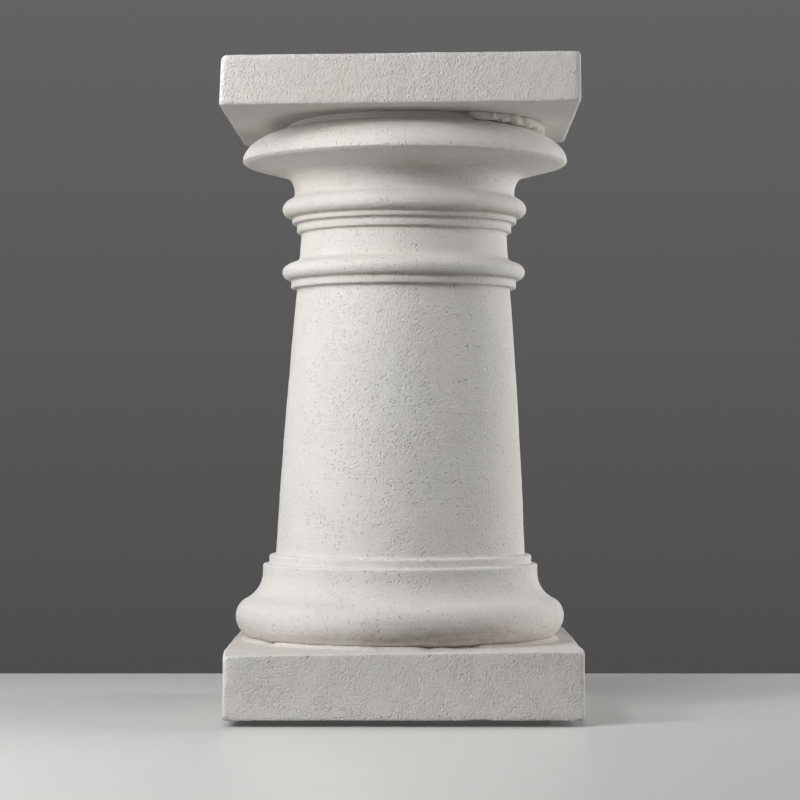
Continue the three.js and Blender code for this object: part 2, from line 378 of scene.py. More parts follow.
def handTree():  # unevenness of hand work: lumps, run lines and chipped arrises
    n, ins = newTree("hand work", {
        "Lumps": ("Float", 0.0003), "Ripples": ("Float", 0.0001), "Run lines": ("Float", 0.0),
        "Trowelled": ("Float", 0.0), "Chips": ("Float", 0.0006), "Seed": ("Float", 0.0)})
    seeded = n.vector("ADD", n.spot(), n.combine(ins["Seed"], 0, 0))
    push = 0.0
    for label, (perMetre, detail, shift, narrow) in handNoises.items():
        drawnOut = n.vector("MULTIPLY", seeded, (narrow, narrow, 1))
        wave = n.minus(n.noise(drawnOut, perMetre, detail, shift), 0.5)
        push = n.plus(push, n.times(wave, ins[label], 2))
    chipped = n.times(n.ramp(n.noise(seeded, 95, 3, 4.0), 0.6, 0.74), n.mark("arris"))
    push = n.minus(push, n.times(chipped, ins["Chips"]))
    offset = n.scaled(n.add("GeometryNodeInputNormal").outputs[0], n.times(push, n.mark("free")))
    return endTree(n, n.move(ins["Geometry"], "Offset", offset))


def leanTree():  # slides each ring sideways with its height, and slopes the bed at the top
    n, ins = newTree("set by hand", {
        "Lean": ("Float", 0.0), "Bed from": ("Float", 1.0), "Bed slope": ("Float", 0.0)})
    x, y, z = n.split(n.spot())
    onBed = n.math("GREATER_THAN", z, ins["Bed from"])
    x = n.math("MULTIPLY_ADD", z, ins["Lean"], x)
    moved = n.combine(x, y, n.plus(z, n.times(x, ins["Bed slope"], onBed)))
    return endTree(n, n.move(ins["Geometry"], "Position", moved))


def bubbleTree():  # air bubbles cut open by the surface, more of them in patches
    n, ins = newTree("air bubbles", {
        "Per square metre": ("Float", 5000.0), "Apart": ("Float", 0.003), "Radius": ("Float", 0.0008),
        "Least": ("Float", 0.4), "Roundness": ("Int", 2), "Sunk": ("Float", 0.3), "Patches per metre": ("Float", 30.0),
        "Bare share": ("Float", 0.4), "Low": ("Float", 0.0), "High": ("Float", 1.0), "Fade": ("Float", 0.02),
        "Seed": ("Int", 1)})
    spot = n.spot()
    z = n.split(spot)["Z"]
    dense = n.ramp(n.noise(spot, ins["Patches per metre"], 2, 8.0), ins["Bare share"], n.plus(ins["Bare share"], 0.3))
    above = n.ramp(z, ins["Low"], n.plus(ins["Low"], ins["Fade"]))
    below = n.ramp(z, ins["High"], n.minus(ins["High"], ins["Fade"]))
    scatter = n.add("GeometryNodeDistributePointsOnFaces", {
        "Mesh": ins["Geometry"], "Distance Min": ins["Apart"], "Density Max": ins["Per square metre"],
        "Density Factor": n.times(dense, n.times(above, below), n.mark("free")), "Seed": ins["Seed"]},
        distribute_method="POISSON")

    def luck(low, high, seed):
        wires = {0: (low,) * 3, 1: (high,) * 3, "Seed": seed}
        return n.add("FunctionNodeRandomValue", wires, data_type="FLOAT_VECTOR").outputs[0]

    # the second output is the one for single values, from 0 to 1
    chance = n.add("FunctionNodeRandomValue", {"Seed": ins["Seed"]}, data_type="FLOAT").outputs[1]
    chance = n.math("POWER", chance, 2.5)
    size = n.math("MULTIPLY_ADD", chance, n.minus(1, ins["Least"]), ins["Least"])
    radius = n.times(size, ins["Radius"])
    sunk = n.scaled(scatter.outputs["Normal"], n.times(radius, ins["Sunk"], -1))
    ball = n.add("GeometryNodeMeshIcoSphere", {"Radius": 1, "Subdivisions": ins["Roundness"]}).outputs["Mesh"]
    balls = n.add("GeometryNodeInstanceOnPoints", {
        "Points": n.move(scatter.outputs["Points"], "Offset", sunk), "Instance": ball,
        "Rotation": luck(0, math.tau, 0), "Scale": n.scaled(luck(0.7, 1.2, 5), radius)}).outputs[0]
    balls = n.add("GeometryNodeRealizeInstances", {"Geometry": balls}).outputs[0]
    wires = {"Mesh 1": ins["Geometry"], "Mesh 2": balls}
    cut = n.add("GeometryNodeMeshBoolean", wires, operation="DIFFERENCE", solver="MANIFOLD")
    return endTree(n, cut.outputs["Mesh"])


def joinTree(name, operation):  # cuts another piece's mesh out, or makes it one with this one
    n, ins = newTree(name, {"Other": ("Object", None)})
    other = n.add("GeometryNodeObjectInfo", {"Object": ins["Other"]}).outputs["Geometry"]
    both = n.add("GeometryNodeMeshBoolean", operation=operation, solver="MANIFOLD")
    n.plug(both.inputs["Mesh 1" if operation == "DIFFERENCE" else "Mesh 2"], ins["Geometry"])
    n.plug(both.inputs["Mesh 2"], other)
    return endTree(n, both.outputs["Mesh"])


turning, slabbing, handWork, setting, bubbling = turnTree(), slabTree(), handTree(), leanTree(), bubbleTree()
cutting, merging = joinTree("cut away", "DIFFERENCE"), joinTree("made one", "UNION")
print("node trees ready")


# ---------- camera

camera = {"place": (-2.49, -1863.45, 187.95), "pitch": 1.049, "lens": 116.51, "sensor": 36}

lens = bpy.data.cameras.new("camera")
lens.lens = camera["lens"]
lens.sensor_width = camera["sensor"]
eye = linked("camera", lens)
eye.location = [value * mm for value in camera["place"]]
eye.rotation_euler = (math.radians(90 + camera["pitch"]), 0, 0)
bpy.context.scene.camera = eye


# ---------- turned column

column = {
    "foot": 51.2, "offset": -2.9, "lean": 0.66, "abacusTilt": 0.55, "bedThinnest": 3.7, "joint": 0.3,
    "undersideRings": (55, 80, 92), "pitSeed": 7, "crumbSeed": 4,
    "shaftFoot": 89.3, "shaftHead": 76.5, "shaftHeight": 190.3, "shaftSwell": 0.9,
    "upperBand": (4.7, 6.4), "lowerBand": (4.5, 6.5), "bandArris": 1.9,  # step out and height
    "coveRound": 20.7, "torusSweep": 19.2, "torusUpperRound": 13.4, "torusLowerRound": 16.8,
    "shaftFillet": (4.4, 5.9), "shaftBead": (6.3, 6.1, 7.2),  # beyond its fillet, below and above its widest line
    "neckSetback": 1.5, "neckTaper": 1.2, "neckHeight": 20.8,
    "lowerFillet": (3.4, 6.4), "upperFillet": (3.5, 4.3), "filletArris": 1.2, "capitalBead": (7.0, 6.2, 7.5),
    "cavettoStep": 5.3, "cavettoUpright": 4.2, "cavettoFlare": 10, "cavettoHeight": 13.3,
    "soffitWidth": 24.5, "soffitRise": 6.7, "noseStep": 3.0, "noseRise": 2.2, "noseControl": (1.9, 0.95),
    "echinusDepth": 54.5, "echinusHeight": 25.2, "echinusArc": 65, "bedArc": 62, "bedReach": 83.5,
    "beadFlow": 62, "flowHeight": 2.2, "filled": 0.9,
    "step": 1.95, "turns": 200,
    "lumps": 0.28, "ripples": 0.1, "runLines": 0.08, "trowelled": 0.3, "chips": 0.7,
}


def arc(centreR, centreZ, halfW, halfH, start, end, step):
    sweep = math.radians(end - start)
    count = max(3, round(abs(sweep) * max(halfW, halfH) / step))
    angles = [math.radians(start) + sweep * i / count for i in range(count + 1)]
    return [(centreR + halfW * math.cos(a), centreZ + halfH * math.sin(a)) for a in angles]


def curve(start, control, end, pieces):
    points = []
    for i in range(1, pieces + 1):
        t = i / pieces
        weights = ((1 - t) ** 2, 2 * t * (1 - t), t ** 2)
        points.append(tuple(sum(w * p[axis] for w, p in zip(weights, (start, control, end))) for axis in (0, 1)))
    return points


def filledCorners(line, fill):  # sharp inner corners, filled a little
    result = [line[0]]
    for before, here, after in zip(line, line[1:], line[2:]):
        into, out = (here[0] - before[0], here[1] - before[1]), (after[0] - here[0], after[1] - here[1])
        bend = math.degrees(math.atan2(into[0] * out[1] - into[1] * out[0], into[0] * out[0] + into[1] * out[1]))
        if bend > -35 or here[0] < 70:
            result.append(here)
            continue
        back, on = min(0.45, fill / math.hypot(*into)), min(0.45, fill / math.hypot(*out))
        start = (here[0] - into[0] * back, here[1] - into[1] * back)
        end = (here[0] + out[0] * on, here[1] + out[1] * on)
        result += [start] + curve(start, here, end, 2)
    return result + [line[-1]]


def columnProfile(c):  # (radius, height) over the column's underside, from the axis to the axis
    step = c["step"]
    line = [(radius, 0) for radius in (0, *c["undersideRings"])]
    upperBandR = c["shaftFoot"] + c["upperBand"][0]
    lowerBandR = upperBandR + c["lowerBand"][0]
    torusR = lowerBandR + c["torusSweep"]
    rounds = c["torusUpperRound"] + c["coveRound"]
    meeting = math.degrees(math.acos(1 - c["torusSweep"] / rounds))
    low, high = c["torusLowerRound"], c["torusUpperRound"]
    line += arc(torusR - low, low, low, low, -90, 0, step)
    line += arc(torusR - high, low, high, high, 0, meeting, step)[1:]
    coveTop = low + rounds * math.sin(math.radians(meeting))
    line += arc(lowerBandR + c["coveRound"], coveTop, c["coveRound"], c["coveRound"], 180 + meeting, 180, step)[1:]

    def top():
        return line[-1][1]

    def band(radius, height, repeatFoot):
        arris = c["bandArris"]
        foot = top()
        if repeatFoot:
            line.append((radius, foot))
        line.append((radius, foot + (height - arris) / 2))
        line.extend(arc(radius - arris, foot + height - arris, arris, arris, 0, 90, 0.8))

    def fillet(radius, height):
        arris = c["filletArris"]
        foot = top()
        line.extend(arc(radius - arris, foot + arris, arris, arris, -90, 0, 0.8))
        line.append((radius, foot + (height + arris) / 2))
        line.append((radius, foot + height))

    def bead(radiusUnder, sizes, radiusOver):  # flows into the face over it, returns the height where it would end
        beyond, below, above = sizes
        widest = top() + below
        radius = radiusUnder + beyond
        line.extend(arc(radiusUnder, widest, beyond, below, -75, 0, 1.1))
        line.extend(arc(radiusOver, widest, radius - radiusOver, above, 0, c["beadFlow"], 1.2)[1:])
        corner = widest + above / math.sin(math.radians(c["beadFlow"]))
        line.extend(curve(line[-1], (radiusOver, corner), (radiusOver, corner + c["flowHeight"]), 4))
        return widest + above

    band(lowerBandR, c["lowerBand"][1], False)
    band(upperBandR, c["upperBand"][1], True)
    foot = top()
    rows = round(c["shaftHeight"] / (step * 1.12))
    for i in range(rows + 1):
        up = i / rows
        straight = c["shaftFoot"] + (c["shaftHead"] - c["shaftFoot"]) * up
        line.append((straight + 4 * c["shaftSwell"] * up * (1 - up), foot + c["shaftHeight"] * up))
    filletR = c["shaftHead"] + c["shaftFillet"][0]
    fillet(filletR, c["shaftFillet"][1])
    neckFoot = c["shaftHead"] - c["neckSetback"]
    neckHead = neckFoot - c["neckTaper"]
    foot = bead(filletR, c["shaftBead"], neckFoot)
    rows = round(c["neckHeight"] / step)
    for i in range(3, rows + 1):
        line.append((neckFoot + (neckHead - neckFoot) * i / rows, foot + c["neckHeight"] * i / rows))
    lowerR = neckHead + c["lowerFillet"][0]
    upperR = lowerR + c["upperFillet"][0]
    fillet(lowerR, c["lowerFillet"][1])
    fillet(upperR, c["upperFillet"][1])
    cavettoR = neckHead + c["cavettoStep"]
    cavettoFoot = bead(upperR, c["capitalBead"], cavettoR) + c["cavettoUpright"]
    innerR = cavettoR + c["cavettoFlare"]
    # the cavetto's oval stops where it slopes like the soffit
    level = math.degrees(math.atan(c["soffitRise"] / c["soffitWidth"] * c["cavettoFlare"] / c["cavettoHeight"]))
    line += arc(innerR, cavettoFoot, c["cavettoFlare"], c["cavettoHeight"], 180, 90 + level, 1.5)
    innerEnd, outerEnd = line[-1], (innerR + c["soffitWidth"], cavettoFoot + c["cavettoHeight"] + c["soffitRise"])
    rows = round(c["soffitWidth"] / step)
    for i in range(1, rows + 1):
        line.append(tuple(a + (b - a) * i / rows for a, b in zip(innerEnd, outerEnd)))
    noseR = outerEnd[0] + c["noseStep"]
    noseLine = top() + c["noseRise"]
    control = tuple(end + beyond for end, beyond in zip(outerEnd, c["noseControl"]))
    line += curve(outerEnd, control, (noseR, noseLine), 3)
    line.append((noseR - 0.02, noseLine + 0.4))
    centre, depth, height = noseR - c["echinusDepth"], c["echinusDepth"], c["echinusHeight"]
    line += arc(centre, noseLine, depth, height, 0, c["bedArc"], step)[1:]
    seatR, seatZ = arc(centre, noseLine, depth, height, 0, c["echinusArc"], step)[-1]
    slope = math.tan(math.radians(c["abacusTilt"]))
    bedTop = seatZ + c["bedThinnest"] + seatR * slope
    start = line[-1]
    for share in (0.4, 0.8):  # the edge of the bed, struck off roughly
        line.append((start[0] + (c["bedReach"] - start[0]) * share, start[1] + (bedTop - start[1]) * share))
    line += [(c["bedReach"], bedTop), (60, bedTop), (0, bedTop)]
    return filledCorners(line, c["filled"]), seatZ, bedTop, noseR


def exposure(line):  # how sharp an arris each point of the section is on
    marks = []
    for i, (r, z) in enumerate(line):
        if i in (0, len(line) - 1):
            marks.append(0)
            continue
        before = (r - line[i - 1][0], z - line[i - 1][1])
        after = (line[i + 1][0] - r, line[i + 1][1] - z)
        turn = math.atan2(before[0] * after[1] - before[1] * after[0], before[0] * after[0] + before[1] * after[1])
        length = max(0.6, (math.hypot(*before) + math.hypot(*after)) / 2)
        bend = turn / length  # radians per millimetre, positive on arrises
        marks.append(min(1, max(0, (bend - 0.15) / 0.35)))
    return marks


columnLine, seatZ, bedTop, noseR = columnProfile(column)
leanSlope = math.tan(math.radians(column["lean"]))
tiltSlope = math.tan(math.radians(column["abacusTilt"]))
# heights of dirt with painted shade on the column: the foot, under the torus, under the rings, in the cavetto and in
# the crevice under the abacus
grimeAndShadeZones = (  # middle height, reach and strength
    (1, 2.5, 1.0), (6, 9, 0.95), (14, 9, 0.35), (249, 3.5, 0.3), (257, 2.6, 0.6), (290, 3, 0.4), (297, 2.2, 0.6),
    (302.5, 3, 0.8), (331, 15, 0.55), (367, 5, 0.2), (361, 3, 0.25))
# dark lines of dirt with painted shade, by height: at the foot joint, in the corners under the rings and in the bed
grooveDirtAndShadeZones = (
    (0.5, 1.2, 0.6), (250.7, 1.7, 0.5), (256.6, 1.5, 0.85), (290.7, 1.7, 0.55), (297.1, 1.5, 0.75), (301.4, 1.6, 0.9),
    (365, 3, 0.3))
section = newObject("section", [(r * mm, 0, z * mm) for r, z in columnLine])
bedRows = 3  # the last rows, on top of the bed, which stay level like the underside
free = [z >= 0.2 and i < len(columnLine) - bedRows for i, (_, z) in enumerate(columnLine)]


def zoned(zones):
    def strength(z):
        return min(1, sum(most * max(0, 1 - abs(z - middle) / reach) for middle, reach, most in zones))

    return [strength(z) for _, z in columnLine]


markPoints(section, "free", free)
markPoints(section, "arris", exposure(columnLine))
markPoints(section, "groove", zoned(grooveDirtAndShadeZones))
markPoints(section, "grime", zoned(grimeAndShadeZones))


def rowsAround(name, rows, closed):  # a skin over rows of points, each row the same length and running round
    vertices = [point for row in rows for point in row]
    count, width = len(rows), len(rows[0])
    faces = []
    for i in range(count if closed else count - 1):
        for j in range(width):
            a, b = i * width, (i + 1) % count * width
            k = (j + 1) % width
            faces.append((a + j, a + k, b + k, b + j))
    if not closed:
        faces += [tuple(range(width)), tuple(range((count - 1) * width, count * width))]
    thing = newObject(name, vertices, faces)
    loose = bmesh.new()
    loose.from_mesh(thing.data)
    bmesh.ops.recalc_face_normals(loose, faces=loose.faces)
    bmesh.ops.triangulate(loose, faces=loose.faces)
    loose.to_mesh(thing.data)
    loose.free()
    return thing


def lumpy(point, scale, depth, seed):
    moved = Vector(point) + Vector((seed, 0, 0))
    return Vector(point) + noise.noise_vector(moved * scale) * depth


# plaster that was squeezed out of the bed under the abacus and left standing, on the right side only
squeezed = {
    "from": -58, "to": 9, "inner": 80, "radius": (91, 102), "thickness": (4.8, 7.6), "droop": 1.2, "lumps": 0.6,
    "pressedUp": 1.6, "thicknessWave": 0.35, "reachWave": 2.2, "squareness": 0.45, "rows": 96, "around": 14}


def squeezedPlaster(s):
    skin = []
    for i in range(s["rows"] + 1):
        along = i / s["rows"]
        azimuth = math.radians(s["from"] + (s["to"] - s["from"]) * along)
        reach = s["radius"][0] + (s["radius"][1] - s["radius"][0]) * along
        thick = s["thickness"][0] + (s["thickness"][1] - s["thickness"][0]) * min(1, along * 1.3)
        thick *= 1 + s["thicknessWave"] * noise.noise(Vector((along * 9, 3, 0)))
        reach += s["reachWave"] * noise.noise(Vector((along * 13, 0, 5)))
        middle, half = (reach + s["inner"]) / 2, (reach - s["inner"]) / 2
        row = []
        for j in range(s["around"]):
            turn = math.tau * j / s["around"]
            flat = math.copysign(abs(math.cos(turn)) ** s["squareness"], math.cos(turn))
            r = middle + half * flat
            x = r * math.cos(azimuth) + bedTop * leanSlope
            y = r * math.sin(azimuth)
            soffit = bedTop + x * tiltSlope - 0.02
            stretch = s["pressedUp"] if turn < math.pi else 1
            droop = s["droop"] * max(0, flat) ** 2 * (0.4 + 0.6 * along)
            z = soffit - thick / 2 + thick / 2 * math.sin(turn) * stretch - droop
            spot = lumpy(lumpy((x, y, z), 0.35, s["lumps"], 2), 0.9, s["lumps"] * 0.45, 6)
            row.append((spot.x * mm, spot.y * mm, min(spot.z, soffit) * mm))
        skin.append(row)
    return rowsAround("squeezed", skin, False)


# marks of use, azimuths in degrees from +X: single pits (azimuth, height on the column, radius), scores (from, to,
# height, depth) and the places where the joint at the foot is broken (from, to, number of crumbs gone)
pits = ((-79.3, 65, 0.9), (-98.5, 256.7, 0.9), (-81.5, 13.5, 0.9), (-109.6, 6.1, 0.7), (-80.2, 26.1, 0.85),
        (-87.9, 189.3, 0.85), (-76.9, 145.9, 1.0), (-85.3, 120.5, 1.1), (-57.5, 183.4, 1.0), (-61.6, 182, 0.8),
        (-107.8, 176.3, 0.95), (-67.2, 230.4, 0.9), (-112.6, 182.6, 0.8), (-71.8, 101.2, 0.75), (-104, 51.6, 1.1))
scores = ((-98.2, -86.4, 135.6, 0.42), (-82, -66, 190.5, 0.28), (-74, -62, 205, 0.25), (-96, -84, 176, 0.22),
          (-70, -50, 160, 0.22), (-120, -104, 118, 0.22), (40, 62, 150, 0.35), (118, 140, 96, 0.3),
          (-20, 6, 210, 0.25), (170, 188, 180, 0.3), (70, 96, 225, 0.25), (-104, -96, 45.5, 0.5))
brokenJoint = {"spans": ((-84, -59, 17), (-151, -139, 7), (22, 34, 6)), "radius": (0.7, 1.5), "height": (0.5, 2.0)}


def outside(height):  # radius of the column's outermost surface at that height
    best = 0
    for (r0, z0), (r1, z1) in zip(columnLine, columnLine[1:]):
        if min(z0, z1) <= height <= max(z0, z1) and z0 != z1:
            best = max(best, r0 + (r1 - r0) * (height - z0) / (z1 - z0))
    return best


def around(azimuth, radius, height):
    angle = math.radians(azimuth)
    return Vector((radius * math.cos(angle) + height * leanSlope, radius * math.sin(angle), height))


def cutterBalls(places, seed):  # uneven little balls in one mesh, for cutting
    shape = bmesh.new()
    for place, radius in places:
        ball = bmesh.ops.create_icosphere(shape, subdivisions=2, radius=radius)
        for vertex in ball["verts"]:
            vertex.co = (lumpy(vertex.co + place, 0.9, radius * 0.35, seed)) * mm
    mesh = bpy.data.meshes.new("cutters")
    shape.to_mesh(mesh)
    shape.free()
    return linked("cutters", mesh)


def columnCutters():
    luck = random.Random(column["pitSeed"])
    places = [(around(a, outside(z) + 0.15 * r, z), r) for a, z, r in pits]
    for first, last, count in brokenJoint["spans"]:
        for _ in range(count):
            height = luck.uniform(*brokenJoint["height"])
            radius = luck.uniform(*brokenJoint["radius"])
            azimuth = luck.uniform(first, last)
            places.append((around(azimuth, outside(max(0.3, height)) - 0.1 * radius, height), radius))
    return cutterBalls(places, column["crumbSeed"])


def columnScores():  # shallow grooves that run with the turning
    tubes = []
    for first, last, height, depth in scores:
        rows = []
        steps = max(6, round(abs(last - first)))
        for i in range(steps + 1):
            share = i / steps
            thin = 0.15 + 0.85 * math.sin(math.pi * share) ** 0.5
            z = height + 0.25 * noise.noise(Vector((share * 4, height, 0)))
            centre = around(first + (last - first) * share, outside(z) + 0.15 * depth, z)
            outwards = Vector((centre.x - z * leanSlope, centre.y, 0)).normalized()
            row = []
            for j in range(6):
                turn = math.tau * j / 6
                upwards = Vector((0, 0, math.sin(turn) * depth * thin * 0.9))
                row.append(tuple((centre + outwards * (math.cos(turn) * depth * thin) + upwards) * mm))
            rows.append(row)
        tubes.append(rowsAround("score", rows, False))
    return tubes


sharedLook = {
    "greenishDirtAndShade": (0.44, 0.41, 0.32, 1), "groove": (0.33, 0.26, 0.20, 1), "grooveDirtAndShadeAmount": 0.6, "wornAmount": 0.5,
    "pinholeReach": 0.42, "pinholeShade": 0.06, "pinholeDepth": 0.25, "specular": 0.3}
columnPlaster = plasterMaterial("column plaster", dict(sharedLook, **{
    "cool": (0.80, 0.777, 0.754, 1), "warm": (0.822, 0.784, 0.745, 1),
    "stain": (0.76, 0.705, 0.65, 1), "stainAmount": 0.3, "speckle": (0.66, 0.62, 0.58, 1), "speckleAmount": 0.2,
    "grime": (0.47, 0.385, 0.31, 1), "grimeAndShadeAmount": 0.85, "worn": (0.86, 0.845, 0.83, 1),
    "squeezed": (0.84, 0.82, 0.745, 1), "roughPlace": (0.012, -0.08, 0.24), "roughReach": 0.125,
    "pinholesPerMetre": 400, "dentsPerMetre": 500, "dentDepth": 0.66, "grainDepth": 0.85, "softDepth": 0.3,
    "runDepth": 0.3, "roughness": (0.72, 0.9)}))

columnPiece = newObject("turnedColumn")
addModifier(columnPiece, turning, columnPlaster, {
    "Section": section, "Rows": len(columnLine), "Turns": column["turns"]})
addModifier(columnPiece, handWork, columnPlaster, lengths(column, "lumps", "ripples", "runLines", "trowelled", "chips"))
addModifier(columnPiece, setting, columnPlaster, {
    "Lean": leanSlope, "Bed from": (seatZ + bedTop) / 2 * mm, "Bed slope": tiltSlope})
bedLeftover = squeezedPlaster(squeezed)
markPoints(bedLeftover, "squeezed", [1] * len(bedLeftover.data.vertices))
addModifier(columnPiece, merging, columnPlaster, {"Other": bedLeftover})
cutters = [columnCutters()] + columnScores()
for cutter in cutters:
    addModifier(columnPiece, cutting, columnPlaster, {"Other": cutter})
largeBubbles = {
    "Per square metre": 4800.0, "Apart": 2.6 * mm, "Radius": 0.9 * mm, "Least": 0.42, "Roundness": 2, "Sunk": -0.1,
    "Patches per metre": 34.0, "Bare share": 0.42, "Low": 66 * mm, "High": 356 * mm, "Fade": 110 * mm, "Seed": 11}
smallBubbles = dict(largeBubbles, **{
    "Per square metre": 16000.0, "Apart": 1.7 * mm, "Radius": 0.62 * mm, "Least": 0.5, "Roundness": 1, "Sunk": -0.15,
    "Patches per metre": 45.0, "Bare share": 0.4, "Low": 0.0, "Fade": 60 * mm, "Seed": 23})
addModifier(columnPiece, bubbling, columnPlaster, largeBubbles)
addModifier(columnPiece, bubbling, columnPlaster, smallBubbles)
settle(columnPiece, columnPlaster, Matrix.Translation((column["offset"] * mm, 0, column["foot"] * mm)))
drop(section, bedLeftover, *cutters)
report(columnPiece)


# ---------- slabs

plinth = {
    "height": 46.4, "ledge": 4.2, "footHeight": 4.5, "footInset": 22,
    "lowerArris": 0.5, "upperArris": 0.9, "leftArris": 1.0, "cornerArris": 2.4, "topCorners": 2.2, "unlike": 0.35,
    "frontDrop": 0.5, "leftDrop": 2.4, "dropReach": 17, "leftSkew": 0,
    "lumps": 0.45, "ripples": 0.16, "chips": 0.9, "seed": 0.31, "chipSeed": 31, "footOverlap": 3,
}
abacus = {
    "height": 34.2, "overhang": 4.8, "offset": -1.1, "turn": -0.8,
    "lowerArris": 1.7, "upperArris": 2.4, "leftArris": 0.4, "cornerArris": 2.2, "topCorners": 1.2, "unlike": 0.25,
    "frontDrop": 0, "leftDrop": 0, "dropReach": 17, "leftSkew": 2.4,
    "lumps": 0.35, "ripples": 0.13, "chips": 0.8, "seed": 0.77, "chipSeed": 17,
}
slabGrid = {"Across": 92, "Up": 22}  # vertices along each side and up


def slabPiece(name, shape, side, material):
    piece = newObject(name)
    sizes = lengths(shape, "height", "lowerArris", "upperArris", "leftArris", "cornerArris", "topCorners", "leftSkew",
                    "frontDrop", "leftDrop", "dropReach")
    addModifier(piece, slabbing, material, {
        **slabGrid, **sizes, "Side": side * mm, "Unlike": shape["unlike"], "Seed": shape["seed"]})
    addModifier(piece, handWork, material, {**lengths(shape, "lumps", "ripples", "chips"), "Seed": shape["seed"]})
    return piece


slabLook = dict(sharedLook, **{
    "cool": (0.795, 0.77, 0.745, 1), "warm": (0.812, 0.768, 0.722, 1),
    "stain": (0.73, 0.68, 0.61, 1), "stainAmount": 0.35, "speckle": (0.64, 0.60, 0.55, 1), "speckleAmount": 0.25,
    "grime": (0.45, 0.37, 0.29, 1), "grimeAndShadeAmount": 0.6, "worn": (0.85, 0.835, 0.815, 1),
    "squeezed": (0.80, 0.77, 0.72, 1), "roughPlace": (-0.095, -0.122, 0.034), "roughReach": 0.035,
    "pinholesPerMetre": 460, "dentsPerMetre": 520, "dentDepth": 0.45, "grainDepth": 1.1, "softDepth": 0.6,
    "runDepth": 0.0, "roughness": (0.74, 0.92)})
plinthPlaster = plasterMaterial("plinth plaster", slabLook)
abacusPlaster = plasterMaterial("abacus plaster", dict(
    slabLook, stainAmount=0.25, roughPlace=(-0.02, -0.122, 0.432), roughReach=0.15))

# chips along the arrises: distance along the front, height over the slab's middle, radius
abacusChips = (
    (-57, -18.2, 1.7), (-6, -18.6, 1.3), (17.5, -18.1, 1.9), (26.4, -18.5, 1.4), (-96, 17.6, 1.3), (61, -18.5, 1.1))
plinthChips = (
    (-42, -21, 0.9), (-30, -20.6, 1.0), (-14.5, -21, 0.8), (24.5, -20.4, 0.8), (41, -21.2, 0.9), (-64, 19, 1.2),
    (18, 20, 1.1))


def slabChips(chips, side, seed):
    luck = random.Random(seed)
    places = [(Vector((x, -side / 2 - 0.2 * r, z)), r) for x, z, r in chips]
    for turn in (90, 180, 270):  # the sides that the photograph doesn't show
        for _ in range(5):
            r = luck.uniform(0.8, 1.8)
            x, z = luck.uniform(-0.45, 0.45) * side, chips[0][1] * luck.choice((-1, 1))
            places.append((Matrix.Rotation(math.radians(turn), 3, "Z") @ Vector((x, -side / 2 - 0.2 * r, z)), r))
    return cutterBalls(places, seed)


torusR = column["shaftFoot"] + column["upperBand"][0] + column["lowerBand"][0] + column["torusSweep"]
plinthSide = 2 * (torusR + plinth["ledge"])
plinthPiece = slabPiece("plinthSlab", plinth, plinthSide, plinthPlaster)

# plaster worked round the column's foot to close the joint, broken open in places
lappedRing = {  # contact is the radius where it meets the torus, gaps are (from, to, how far it is broken back)
    "inner": 97.5, "contact": 109.0, "unlike": 1.1, "fineUnlike": 0.5, "lip": 0.9, "apron": 5.2, "gap": 0.14,
    "gaps": ((-84, -60, 3.0), (-150, -141, 3.0), (20, 36, 3.0)), "steps": 300, "deep": 2}


def slabFall(x, y):  # how far the plinth's top has dropped at that place
    half = plinthSide / 2
    left = min(1, max(0, (0.75 - x / half) / 1.75))
    drop = plinth["frontDrop"] + plinth["leftDrop"] * left * left * (3 - 2 * left)
    return drop * min(1, max(0, 1 - (y + half) / plinth["dropReach"]))


def plasterRing(s):
    torusRound = column["torusLowerRound"]
    flatR = torusR - torusRound  # inside it the torus lies flat over the slab
    slabTop = plinth["height"] / 2
    rows = []
    for i in range(s["steps"]):
        azimuth = 360 * i / s["steps"] - 180
        angle = math.radians(azimuth)
        here = Vector((math.cos(angle), math.sin(angle), 0))
        contact = s["contact"] + s["unlike"] * noise.noise(here * 5) + s["fineUnlike"] * noise.noise(here * 28)
        for first, last, back in s["gaps"]:
            inside = min(azimuth - first, last - azimuth) / 3
            contact -= back * min(1, max(0, inside)) * (0.75 + 0.5 * noise.noise(here * 40))
        apron = s["apron"] * (1 + 0.5 * noise.noise(here * 9 + Vector((0, 0, 7))))

        def point(r, height):
            return tuple(Vector((r * here.x + column["offset"], r * here.y, slabTop + height)) * mm)

        row = []
        for r in (s["inner"], flatR, (flatR + contact) / 2, contact, contact + s["lip"]):
            arch = math.sqrt(max(0, torusRound ** 2 - max(0, r - flatR) ** 2))
            height = column["joint"] + torusRound - arch - s["gap"]
            if r > contact:
                height = row[-1][2] / mm - slabTop - 0.15
            row.append(point(r, height))
        lip = row[-1][2] / mm - slabTop
        for share in (0.45, 1.0, 1.25):
            r = contact + s["lip"] + apron * share
            x, y = r * here.x + column["offset"], r * here.y
            over = lip * (1 - share) ** 1.2 - 0.05 if share < 1 else -0.3 - 4 * (share - 1)
            row.append((x * mm, y * mm, (slabTop + over - slabFall(x, y)) * mm))
        row.append(point(s["inner"], -s["deep"]))
        rows.append(row)
    return rowsAround("ring", rows, True)


def footBlock():
    half = (plinthSide / 2 - plinth["footInset"]) * mm
    low = (-plinth["height"] / 2 - plinth["footHeight"]) * mm
    high = (-plinth["height"] / 2 + plinth["footOverlap"]) * mm
    rows = [[(x * half, y * half, z) for x, y in ((-1, -1), (1, -1), (1, 1), (-1, 1))] for z in (low, high)]
    return rowsAround("foot", rows, False)


